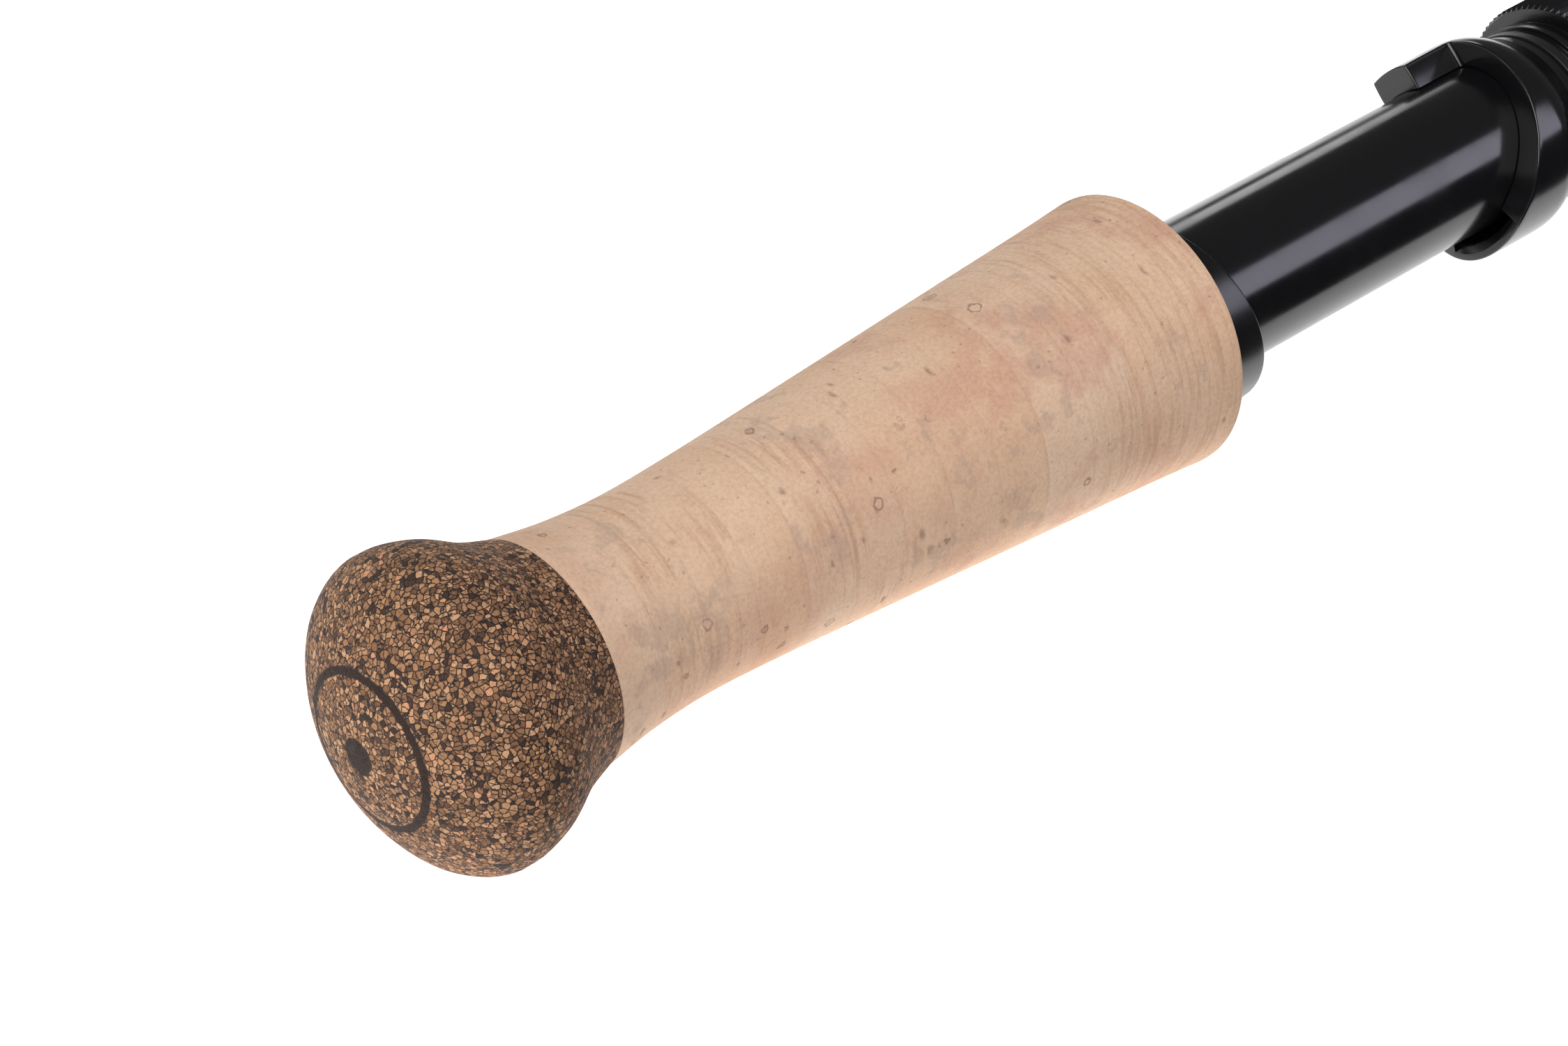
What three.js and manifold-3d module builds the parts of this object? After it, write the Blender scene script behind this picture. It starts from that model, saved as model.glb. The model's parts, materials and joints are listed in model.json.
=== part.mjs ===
// Handle section of a six-piece two-handed (switch) fly rod, in millimetres.
// The rod's axis is level and runs along +X from the butt knob to the male ferrule. The reel side
// faces -Y and 45 degrees down, and the sliding hood's lug is on the side opposite it. The origin
// is under the middle of the rod, at the height of the knob's lowest point.
import * as THREE from 'three';
import { mergeVertices } from 'three/addons/utils/BufferGeometryUtils.js';
import Module from 'manifold-3d';

const wasm = await Module();
wasm.setup();

// ---------------------------------------------------------------- driving dimensions
const ROD_LENGTH = 545;
const FACETS = 32;
const CORK_FACETS = 24;
const GLUE_LINE = 0.1;
const FIT = 0.3;
const REEL_SIDE_ROLL = THREE.MathUtils.degToRad(225);

// Blank: a tapered carbon tube whose butt sits in the knob and whose front end is the male ferrule.
const BLANK_START = 8.5;
const BLANK_BUTT_RADIUS = 6.1;
const BLANK_TAPER = 0.0016;
const BLANK_WALL = 1.5;
const FERRULE_LENGTH = 46;
const FERRULE_STEP = 0.25;

// Knob and lower grip.
const KNOB_LENGTH = 22.5;
const KNOB_RADIUS = 17;
const RING_THICKNESS = 6.35;
const PLAIN_RINGS = 12;
const LOWER_GRIP_END = 106.95;

// Reel seat.
const BARREL_RADIUS = 9;
const BARREL_BORE = 7.6;
const BARREL_END = 207;
const CUP_WALL = 2;
const FIXED_HOOD_RADIUS = 12;
const FIXED_HOOD_EDGE = 112.5;
const FIXED_HOOD_LEAN = 0.26;
const HOOD_RADIUS = 12.1;
const HOOD_MOUTH = 162.5;
const HOOD_LEAN = -0.325;
const HOOD_END = 173;
const LUG_END = 157.9;
const LUG_HALF_WIDTH = 3.2;
const POCKET_RADIUS = 11.1;
const POCKET_HALF_WIDTH = 5.4;
const POCKET_END = 167;
const KEYWAY_START = 140;
const KEYWAY_HALF_WIDTH = 1.5;
const KEYWAY_FLOOR = 8.1;
const KEY_TOP = 9.7;
const NUT_RADIUS = 12;
const NUT_COLLAR_RADIUS = 10.3;
const NUT_COLLAR = 3.2;
const NUT_START = 174.9;
const NUT_END = 188;
const JAM_RADIUS = 11.8;
const JAM_START = 189.6;
const JAM_END = 195;
const RIM_CHAMFER = 0.6;
const ARBOR_LENGTH = 16;
const ARBOR_STARTS = { rear_arbor: 110, middle_arbor: 148, front_arbor: 188 };

// Upper grip.
const TRIM_START = 205;
const UPPER_GRIP_START = 210;
const UPPER_RING_THICKNESS = 12.7;
const UPPER_RINGS = 14;
const END_RING_THICKNESS = 6.35;

// Fittings ahead of the upper grip.
const CHECK_LENGTH = 3.2;
const CHECK_WRAP_END = 408;
const WRAP_HEIGHT = 0.35;
const KEEPER_START = 412;
const KEEPER_FOOT = 7;
const KEEPER_SPAN = 8;
const KEEPER_RISE = 5.5;
const KEEPER_WIRE = 0.5;

// ---------------------------------------------------------------- materials
function finish(color, roughness, metalness) {
  return { color, roughness, metalness };
}

const FINISHES = {
  compositeCork: finish(0x6b4a30, 0.9, 0),
  cork: finish(0xd9b795, 0.85, 0),
  blackMetal: finish(0x141416, 0.2, 0.9),
  blank: finish(0x15181c, 0.25, 0.1),
  nylon: finish(0x1b1b1d, 0.5, 0),
  rubber: finish(0x101010, 0.8, 0),
  foam: finish(0x3c3a36, 0.9, 0),
  wrap: finish(0x0e1013, 0.12, 0),
  steel: finish(0x8d9094, 0.25, 1),
};

// ---------------------------------------------------------------- shape helpers

// A solid turned about the rod's axis from an outline of [station, radius] corners.
function turned(outline, segments = FACETS) {
  const points = outline.map(([station, radius]) => new THREE.Vector2(radius, station));
  const geometry = new THREE.LatheGeometry(points, segments);
  geometry.rotateZ(-Math.PI / 2);
  return geometry;
}

// A turned ring: the outer corners run from butt to tip, and the bore is straight or tapered.
function ring(outer, boreAtStart, boreAtEnd = boreAtStart, segments = FACETS) {
  const start = outer[0][0];
  const end = outer[outer.length - 1][0];
  return turned([[start, boreAtStart], ...outer, [end, boreAtEnd], [start, boreAtStart]], segments);
}

// A block given by its lowest and highest corners.
function block(low, high) {
  const size = high.map((value, axis) => value - low[axis]);
  const geometry = new THREE.BoxGeometry(...size);
  geometry.translate(...low.map((value, axis) => value + size[axis] / 2));
  return geometry;
}

// The half of space on the butt side of a plane that crosses the axis at a station and leans
// towards the tip by lean for each millimetre of +Z, as a block large enough for one hood.
function buttSide(station, lean) {
  const reach = 60;
  const geometry = block([-reach, -reach, -reach], [0, reach, reach]);
  geometry.rotateY(Math.atan(lean));
  geometry.translate(station, 0, 0);
  return geometry;
}

function solid(geometry) {
  const bare = geometry.clone();
  bare.deleteAttribute('normal');
  bare.deleteAttribute('uv');
  const merged = mergeVertices(bare, 1e-4);
  const vertProperties = new Float32Array(merged.attributes.position.array);
  const triVerts = new Uint32Array(merged.index.array);
  return new wasm.Manifold(new wasm.Mesh({ numProp: 3, vertProperties, triVerts }));
}

function geometryOf(manifold) {
  const mesh = manifold.getMesh();
  const geometry = new THREE.BufferGeometry();
  geometry.setAttribute('position', new THREE.BufferAttribute(mesh.vertProperties, mesh.numProp));
  geometry.setIndex(new THREE.BufferAttribute(mesh.triVerts, 1));
  geometry.computeVertexNormals();
  return geometry;
}

// A smooth radius along the rod, through [station, radius] points.
function smoothRadius(points) {
  const slope = points.map((point, i) => {
    const before = points[Math.max(i - 1, 0)];
    const after = points[Math.min(i + 1, points.length - 1)];
    return (after[1] - before[1]) / (after[0] - before[0]);
  });
  return (station) => {
    const found = points.findIndex((point) => point[0] >= station);
    const i = Math.min(Math.max(found, 1), points.length - 1);
    const [x0, r0] = points[i - 1];
    const [x1, r1] = points[i];
    const span = x1 - x0;
    const t = (station - x0) / span;
    const blend = t * t * (3 - 2 * t);
    const bulge = t * (1 - t) * ((1 - t) * slope[i - 1] - t * slope[i]) * span;
    return r0 + (r1 - r0) * blend + bulge;
  };
}

// ---------------------------------------------------------------- the rod and its sub-parts
const rod = new THREE.Group();

function add(name, geometry, look) {
  const mesh = new THREE.Mesh(geometry, new THREE.MeshStandardMaterial(FINISHES[look]));
  mesh.name = name;
  rod.add(mesh);
}

function blankRadius(station) {
  return BLANK_BUTT_RADIUS - BLANK_TAPER * (station - BLANK_START);
}

const lowerGripRadius = smoothRadius([
  [22.5, 12.56], [29.4, 11.58], [36.7, 11.19], [45.7, 11.5], [63.9, 12.7],
  [82, 13.96], [100.2, 15.22], [LOWER_GRIP_END, 15.78],
]);

const upperGripEnd = UPPER_GRIP_START + UPPER_RINGS * UPPER_RING_THICKNESS;
const endRingEnd = upperGripEnd + END_RING_THICKNESS;
const upperGripRadius = smoothRadius([
  [UPPER_GRIP_START, 13.4], [222, 13.6], [250, 12.3], [290, 12.6], [330, 12.2],
  [365, 10.2], [endRingEnd, 9.1],
]);

// The composite-cork knob: a domed mushroom with a blind bore for the butt of the blank.
function buttKnob() {
  const skin = new THREE.SplineCurve([
    [0, 0], [0.95, 6.4], [3.78, 12.6], [6.2, 15.4], [9.5, KNOB_RADIUS], [14, 16.3],
    [18.5, 13.96], [KNOB_LENGTH, lowerGripRadius(KNOB_LENGTH)],
  ].map(([station, radius]) => new THREE.Vector2(station, radius)));
  const outer = skin.getPoints(14).map((point) => [point.x, point.y]);
  outer[0] = [0, 0];
  const widest = outer.reduce((best, point) => (point[1] > best[1] ? point : best));
  widest[1] = KNOB_RADIUS;
  const bore = BLANK_BUTT_RADIUS + FIT;
  const bottom = BLANK_START - FIT;
  return turned([...outer, [KNOB_LENGTH, bore], [bottom, bore], [bottom, 0]]);
}

// One glued cork ring, whose bore clears the blank or the sleeve of the fixed hood.
function corkRing(start, end, radiusAt, bore) {
  const from = start + GLUE_LINE / 2;
  const to = end - GLUE_LINE / 2;
  return ring([[from, radiusAt(from)], [to, radiusAt(to)]], bore, bore, CORK_FACETS);
}

function corkBore(start) {
  return blankRadius(start) + FIT;
}

function lowerGrip() {
  for (let i = 0; i < PLAIN_RINGS; i++) {
    const start = KNOB_LENGTH + i * RING_THICKNESS;
    const name = `cork_ring_${String(i + 1).padStart(2, '0')}`;
    add(name, corkRing(start, start + RING_THICKNESS, lowerGripRadius, corkBore(start)), 'cork');
  }
  const start = KNOB_LENGTH + PLAIN_RINGS * RING_THICKNESS;
  const seatBore = FIXED_HOOD_RADIUS + FIT;
  add('cork_ring_front', corkRing(start, LOWER_GRIP_END, lowerGripRadius, seatBore), 'cork');
}

// The room for one end of the reel foot, between the barrel and a hood's roof.
function footPocket(start, end) {
  const slot = block([start, -POCKET_HALF_WIDTH, 0], [end, POCKET_HALF_WIDTH, 2 * POCKET_RADIUS]);
  const shell = ring([[start, POCKET_RADIUS], [end, POCKET_RADIUS]], BARREL_RADIUS - 1);
  return solid(slot).intersect(solid(shell));
}

// The fixed hood: a cup let into the front of the lower grip, longest on the reel side.
function fixedHood() {
  const start = KNOB_LENGTH + PLAIN_RINGS * RING_THICKNESS + GLUE_LINE;
  const wallEnd = start + CUP_WALL;
  const rim = FIXED_HOOD_EDGE + FIXED_HOOD_LEAN * FIXED_HOOD_RADIUS + 1;
  const blankBore = blankRadius(start) + FIT;
  const barrelBore = BARREL_RADIUS + GLUE_LINE;
  const cup = turned([
    [start, blankBore], [start, FIXED_HOOD_RADIUS], [rim, FIXED_HOOD_RADIUS],
    [rim, barrelBore], [wallEnd, barrelBore], [wallEnd, blankBore], [start, blankBore],
  ]);
  const face = solid(buttSide(FIXED_HOOD_EDGE, FIXED_HOOD_LEAN));
  return geometryOf(solid(cup).intersect(face).subtract(footPocket(wallEnd, rim + 1)));
}

// The barrel: a plain tube with a keyway along the lug side for the sliding hood's key.
function barrel() {
  const start = KNOB_LENGTH + PLAIN_RINGS * RING_THICKNESS + CUP_WALL + 2 * GLUE_LINE;
  const tube = ring([[start, BARREL_RADIUS], [BARREL_END, BARREL_RADIUS]], BARREL_BORE);
  const low = [KEYWAY_START, -KEYWAY_HALF_WIDTH, -BARREL_RADIUS - 1];
  const high = [BARREL_END + 1, KEYWAY_HALF_WIDTH, -KEYWAY_FLOOR];
  return geometryOf(solid(tube).subtract(solid(block(low, high))));
}

// An arbor that centres the barrel on the blank.
function arbor(start) {
  const outer = BARREL_BORE - FIT;
  return ring([[start, outer], [start + ARBOR_LENGTH, outer]], blankRadius(start) + FIT);
}

// The sliding hood: a ring with a slanted mouth, longest over the reel foot's pocket, with a flat-ended
// lug and an inner key on the side opposite the pocket.
function slidingHood() {
  const body = ring([
    [LUG_END, HOOD_RADIUS - 0.4], [LUG_END + 0.7, HOOD_RADIUS], [166.6, HOOD_RADIUS], [168.4, 11.5],
    [170, 10.8], [171.4, 10.2], [HOOD_END, 10],
  ], BARREL_RADIUS + FIT);
  const lug = block([LUG_END - 1, -LUG_HALF_WIDTH, -2 * HOOD_RADIUS], [HOOD_END + 1, LUG_HALF_WIDTH, 0]);
  const mouth = solid(buttSide(HOOD_MOUTH, HOOD_LEAN)).subtract(solid(lug));
  const keyHalfWidth = KEYWAY_HALF_WIDTH - FIT;
  const key = block(
    [POCKET_END + 1.5, -keyHalfWidth, -KEY_TOP],
    [HOOD_END - 0.5, keyHalfWidth, -KEYWAY_FLOOR - FIT],
  );
  const pocket = footPocket(LUG_END - 1, POCKET_END);
  return geometryOf(solid(body).subtract(mouth).subtract(pocket).add(solid(key)));
}

// The lock nut: a knurled ring on the barrel's thread, with a collar on its butt side.
function lockNut() {
  const flange = NUT_START + NUT_COLLAR;
  return ring([
    [NUT_START, NUT_COLLAR_RADIUS - 0.4], [NUT_START + 1.5, NUT_COLLAR_RADIUS], [flange, NUT_COLLAR_RADIUS],
    [flange, NUT_RADIUS - RIM_CHAMFER], [flange + RIM_CHAMFER, NUT_RADIUS],
    [NUT_END - RIM_CHAMFER, NUT_RADIUS], [NUT_END, NUT_RADIUS - RIM_CHAMFER],
  ], BARREL_RADIUS + FIT);
}

// The jam nut: a second, plain knurled ring that locks the first one.
function jamNut() {
  return ring([
    [JAM_START, JAM_RADIUS - RIM_CHAMFER], [JAM_START + RIM_CHAMFER, JAM_RADIUS],
    [JAM_END - RIM_CHAMFER, JAM_RADIUS], [JAM_END, JAM_RADIUS - RIM_CHAMFER],
  ], BARREL_RADIUS + FIT);
}

// A plain washer between two moving rings.
function washer(start, end, radius) {
  return ring([[start, radius], [end, radius]], BARREL_RADIUS + FIT);
}

// The trim ring caps the front of the barrel and flares up to the upper grip.
function trimRing() {
  const blankBore = blankRadius(BARREL_END) + FIT;
  const capBore = BARREL_RADIUS + GLUE_LINE;
  return turned([
    [TRIM_START, capBore], [TRIM_START, 10.2], [206, 10.4], [208, 12.4],
    [UPPER_GRIP_START - GLUE_LINE, 13], [UPPER_GRIP_START - GLUE_LINE, blankBore],
    [BARREL_END + GLUE_LINE, blankBore], [BARREL_END + GLUE_LINE, capBore], [TRIM_START, capBore],
  ]);
}

function upperGrip() {
  for (let i = 0; i < UPPER_RINGS; i++) {
    const start = UPPER_GRIP_START + i * UPPER_RING_THICKNESS;
    const name = `upper_cork_ring_${String(i + 1).padStart(2, '0')}`;
    const end = start + UPPER_RING_THICKNESS;
    add(name, corkRing(start, end, upperGripRadius, corkBore(start)), 'cork');
  }
  const bore = corkBore(upperGripEnd);
  add('composite_end_ring', corkRing(upperGripEnd, endRingEnd, upperGripRadius, bore), 'compositeCork');
}

function windingCheck() {
  const start = endRingEnd + GLUE_LINE;
  const bore = blankRadius(start) + FIT;
  return ring([[start, 8.6], [start + 0.8, 8.6], [start + CHECK_LENGTH, 6.9]], bore);
}

// Thread bound round the blank under varnish.
function threadWrap(start, end) {
  const at = (station) => blankRadius(station) + GLUE_LINE;
  const top = (station) => at(station) + WRAP_HEIGHT;
  return ring([
    [start, at(start) + 0.1], [start + 1, top(start + 1)], [end - 1, top(end - 1)], [end, at(end) + 0.1],
  ], at(start), at(end));
}

// The hook keeper: one bent wire with two feet along the blank and an arch between them.
function hookKeeper() {
  const lie = blankRadius(KEEPER_START) + KEEPER_WIRE + 0.35;
  const path = new THREE.CatmullRomCurve3([
    [0, 0], [KEEPER_FOOT, 0], [KEEPER_FOOT + 1.6, KEEPER_RISE * 0.45],
    [KEEPER_FOOT + KEEPER_SPAN / 2, KEEPER_RISE],
    [KEEPER_FOOT + KEEPER_SPAN - 1.6, KEEPER_RISE * 0.45], [KEEPER_FOOT + KEEPER_SPAN, 0],
    [2 * KEEPER_FOOT + KEEPER_SPAN, 0],
  ].map(([along, up]) => new THREE.Vector3(KEEPER_START + along, 0, lie + up)));
  const section = new THREE.Shape();
  section.absarc(0, 0, KEEPER_WIRE, 0, 2 * Math.PI);
  const options = { steps: 36, curveSegments: 4, bevelEnabled: false, extrudePath: path };
  return new THREE.ExtrudeGeometry(section, options);
}

// A keeper foot's wrap: a thicker ring of thread with a slot where the wire's foot lies.
function footWrap(start, end) {
  const inner = blankRadius(start) + GLUE_LINE;
  const outer = inner + 2 * KEEPER_WIRE + 0.9;
  const band = ring([
    [start, outer - 0.6], [start + 0.8, outer], [end - 0.8, outer], [end, outer - 0.6],
  ], inner);
  const halfSlot = KEEPER_WIRE + FIT;
  const slot = block([start - 1, -halfSlot, 0], [end + 1, halfSlot, inner + 2 * KEEPER_WIRE + 0.6]);
  return geometryOf(solid(band).subtract(solid(slot)));
}

// The blank: one long hollow taper with a stepped-down male ferrule at its front.
function blank() {
  const step = ROD_LENGTH - FERRULE_LENGTH;
  const radius = (station) => blankRadius(station) - (station > step ? FERRULE_STEP : 0);
  return ring([
    [BLANK_START, radius(BLANK_START)], [step, radius(step)], [step + 0.6, radius(step + 0.6)],
    [ROD_LENGTH - 0.4, radius(ROD_LENGTH - 0.4)], [ROD_LENGTH, radius(ROD_LENGTH) - 0.3],
  ], radius(BLANK_START) - BLANK_WALL, radius(ROD_LENGTH) - BLANK_WALL - 0.2);
}

add('butt_knob', buttKnob(), 'compositeCork');
lowerGrip();
add('fixed_hood', fixedHood(), 'blackMetal');
add('seat_barrel', barrel(), 'blackMetal');
for (const [name, start] of Object.entries(ARBOR_STARTS)) {
  add(name, arbor(start), 'foam');
}
add('sliding_hood', slidingHood(), 'blackMetal');
add('hood_washer', washer(HOOD_END + FIT, NUT_START - FIT, 10.1), 'nylon');
add('lock_nut', lockNut(), 'blackMetal');
add('nut_seal', washer(NUT_END + FIT, JAM_START - FIT, 10.6), 'rubber');
add('jam_nut', jamNut(), 'blackMetal');
add('trim_ring', trimRing(), 'blackMetal');
upperGrip();
add('winding_check', windingCheck(), 'blackMetal');
add('check_wrap', threadWrap(endRingEnd + CHECK_LENGTH + 2 * GLUE_LINE, CHECK_WRAP_END), 'wrap');
add('hook_keeper', hookKeeper(), 'steel');
add('rear_foot_wrap', footWrap(KEEPER_START - 1, KEEPER_START + KEEPER_FOOT - 1), 'wrap');
const frontFoot = KEEPER_START + KEEPER_FOOT + KEEPER_SPAN;
add('front_foot_wrap', footWrap(frontFoot + 1, frontFoot + KEEPER_FOOT + 1), 'wrap');
add('blank', blank(), 'blank');

rod.rotation.x = -REEL_SIDE_ROLL;
rod.position.set(-ROD_LENGTH / 2, 0, KNOB_RADIUS);

const part = new THREE.Group();
part.add(rod);

export default part;
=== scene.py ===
"""Looks for the handle section of a two-handed fly rod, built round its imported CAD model.

The rod's own axes are used for every outline: stations in millimetres from the butt end, radii in
millimetres from the rod's axis, and angles from the reel side, which the foot's pocket faces.
"""
import math
import random

import bpy
import numpy as np
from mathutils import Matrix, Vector
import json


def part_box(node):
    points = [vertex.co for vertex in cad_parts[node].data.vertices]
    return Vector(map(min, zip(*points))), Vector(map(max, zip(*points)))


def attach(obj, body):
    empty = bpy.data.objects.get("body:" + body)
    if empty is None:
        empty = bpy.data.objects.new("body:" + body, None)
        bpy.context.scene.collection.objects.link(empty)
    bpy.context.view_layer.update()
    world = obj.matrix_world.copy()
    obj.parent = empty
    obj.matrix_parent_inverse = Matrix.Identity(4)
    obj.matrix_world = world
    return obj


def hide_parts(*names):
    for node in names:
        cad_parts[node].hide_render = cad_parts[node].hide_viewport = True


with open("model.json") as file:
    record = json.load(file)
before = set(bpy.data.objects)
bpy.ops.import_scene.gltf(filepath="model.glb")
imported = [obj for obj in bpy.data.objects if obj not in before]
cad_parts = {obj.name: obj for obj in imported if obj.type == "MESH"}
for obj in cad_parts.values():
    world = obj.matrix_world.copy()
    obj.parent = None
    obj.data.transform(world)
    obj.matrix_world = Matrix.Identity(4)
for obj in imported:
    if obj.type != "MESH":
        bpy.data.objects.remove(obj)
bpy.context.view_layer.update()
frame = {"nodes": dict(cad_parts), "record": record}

MM = 0.001
random.seed(7)

# ------------------------------------------------------------------ where the rod lies
knob_low, knob_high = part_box("butt_knob")
BUTT_X = knob_low.x
AXIS_Z = (knob_low.z + knob_high.z) / 2
MOUNTS = {m["name"]: m for m in frame["record"]["mounts"]}
REEL_SIDE = Vector(MOUNTS["reel_seat"]["axis"]).normalized()
SIDE = REEL_SIDE.cross(Vector((1, 0, 0)))


def span(node):
    """First and last station of a CAD node, in millimetres from the butt end."""
    low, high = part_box(node)
    return (low.x - BUTT_X) / MM, (high.x - BUTT_X) / MM


def placed(points):
    """Points in the rod's own axes, in millimetres, as points in the row frame, in metres."""
    p = np.asarray(points, float) * MM
    out = np.empty_like(p)
    out[..., 0] = BUTT_X + p[..., 0]
    out[..., 1] = p[..., 1] * SIDE.y + p[..., 2] * REEL_SIDE.y
    out[..., 2] = AXIS_Z + p[..., 1] * SIDE.z + p[..., 2] * REEL_SIDE.z
    return out


# ------------------------------------------------------------------ outlines
def smooth_radius(points):
    """A function that gives a smooth radius through [station, radius] points."""
    xs = np.array([p[0] for p in points], float)
    rs = np.array([p[1] for p in points], float)
    before = np.concatenate([[0], np.arange(len(xs) - 1)])
    after = np.minimum(np.arange(len(xs)) + 1, len(xs) - 1)
    slopes = (rs[after] - rs[before]) / (xs[after] - xs[before])

    def radius(station):
        x = np.asarray(station, float)
        i = np.clip(np.searchsorted(xs, x), 1, len(xs) - 1)
        width = xs[i] - xs[i - 1]
        t = (x - xs[i - 1]) / width
        blend = t * t * (3 - 2 * t)
        bulge = t * (1 - t) * ((1 - t) * slopes[i - 1] - t * slopes[i]) * width
        return rs[i - 1] + (rs[i] - rs[i - 1]) * blend + bulge

    return radius


def on_line(low, high, at, first, last):
    """The point at a parameter on the line that is at first for low and at last for high."""
    return ((high - at) * first + (at - low) * last) / (high - low)


def through(points, per_span=8):
    """A centripetal Catmull-Rom curve through points in the plane."""
    p = [np.array(q, float) for q in points]
    p = [2 * p[0] - p[1]] + p + [2 * p[-1] - p[-2]]
    out = []
    for i in range(1, len(p) - 2):
        t = [0.0]
        for j in range(3):
            t.append(t[-1] + math.sqrt(np.linalg.norm(p[i + j] - p[i + j - 1])))
        for at in np.linspace(t[1], t[2], per_span, endpoint=False):
            a = [on_line(t[j], t[j + 1], at, p[i + j - 1], p[i + j]) for j in range(3)]
            b = [on_line(t[j], t[j + 2], at, a[j], a[j + 1]) for j in range(2)]
            out.append(on_line(t[1], t[2], at, b[0], b[1]))
    out.append(p[-2])
    return np.array(out)


NEARLY_STRAIGHT = math.radians(88)
MOST_OF_A_SIDE = 0.48


def filleted(corners, radius, steps=4):
    """A polygon with its corners rounded; a corner may bring its own radius."""
    count = len(corners)
    out = []
    for i, corner in enumerate(corners):
        here = np.array(corner[:2], float)
        own = corner[2] if len(corner) > 2 else radius
        before = np.array(corners[i - 1][:2], float) - here
        after = np.array(corners[(i + 1) % count][:2], float) - here
        to_before = np.linalg.norm(before)
        to_after = np.linalg.norm(after)
        cosine = np.clip(before @ after / (to_before * to_after), -1, 1)
        half = math.acos(cosine) / 2
        if half > NEARLY_STRAIGHT:
            out.append(here)
            continue
        reach = min(own / math.tan(half), MOST_OF_A_SIDE * to_before, MOST_OF_A_SIDE * to_after)
        start = here + before / to_before * reach
        end = here + after / to_after * reach
        for t in np.linspace(0, 1, steps + 1):
            out.append((1 - t) ** 2 * start + 2 * t * (1 - t) * here + t * t * end)
    return np.array(out)


def denser(line, step, closed=True):
    """The same line with extra points, so that no stretch is longer than step."""
    line = list(line)
    ends = line[1:] + line[:1] if closed else line[1:]
    out = []
    for a, b in zip(line, ends):
        pieces = max(1, math.ceil(np.linalg.norm(b - a) / step))
        out += [a + (b - a) * k / pieces for k in range(pieces)]
    if not closed:
        out.append(line[-1])
    return np.array(out)


# ------------------------------------------------------------------ meshes
def make_mesh(name, points, faces, sharp_angle):
    """A piece from points in metres; edges sharper than sharp_angle degrees stay sharp."""
    mesh = bpy.data.meshes.new(name)
    mesh.from_pydata([tuple(p) for p in points], [], faces)
    mesh.validate()
    mesh.shade_smooth()
    mesh.set_sharp_from_angle(angle=math.radians(sharp_angle))
    piece = bpy.data.objects.new(name, mesh)
    bpy.context.scene.collection.objects.link(piece)
    return piece


def grid_piece(name, grid, sharp_angle, poles=False):
    """A closed piece from rows of points that each run once round the rod.

    grid is [row][column][x, y, z] in the rod's own axes. The last row joins the first, unless
    poles is set: then the first and last rows shrink to single points on the axis.
    """
    rows, columns = grid.shape[:2]
    points = placed(grid).reshape(-1, 3)
    faces = []
    for r in range(rows - 1 if poles else rows):
        a, b = r * columns, ((r + 1) % rows) * columns
        for c in range(columns):
            d = (c + 1) % columns
            faces.append((a + c, a + d, b + d, b + c))
    if poles:
        tip, tail = len(points), len(points) + 1
        ends = placed([[grid[0, 0, 0], 0, 0], [grid[-1, 0, 0], 0, 0]])
        points = np.concatenate([points, ends])
        last = (rows - 1) * columns
        for c in range(columns):
            d = (c + 1) % columns
            faces.append((tip, d, c))
            faces.append((tail, last + c, last + d))
    p = points[np.array([face for face in faces if len(face) == 4])]
    centre = points.mean(0)
    normal = np.cross(p[:, 2] - p[:, 0], p[:, 3] - p[:, 1])
    if ((p.mean(1) - centre) * normal).sum() < 0:
        faces = [face[::-1] for face in faces]
    return make_mesh(name, points, faces, sharp_angle)


def turned(name, outline, segments, sharp_angle, shape=None, poles=False):
    """A piece turned about the rod's axis from a closed [station, radius] outline.

    shape(stations, angles, radii) may return changed radii, for knurls, threads and pits.
    """
    outline = np.asarray(outline, float)
    angles = np.arange(segments) * 2 * math.pi / segments
    x = np.repeat(outline[:, :1], segments, axis=1)
    r = np.repeat(outline[:, 1:2], segments, axis=1)
    a = np.repeat(angles[None, :], len(outline), axis=0)
    if shape is not None:
        r = shape(x, a, r)
    grid = np.stack([x, r * np.sin(a), r * np.cos(a)], axis=-1)
    return grid_piece(name, grid, sharp_angle, poles)


def finish_piece(piece, node, material, body="rod"):
    """Gives a piece its material and its body, and hides the CAD node that it stands for."""
    piece.data.materials.append(material)
    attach(piece, body)
    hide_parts(node)


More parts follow.
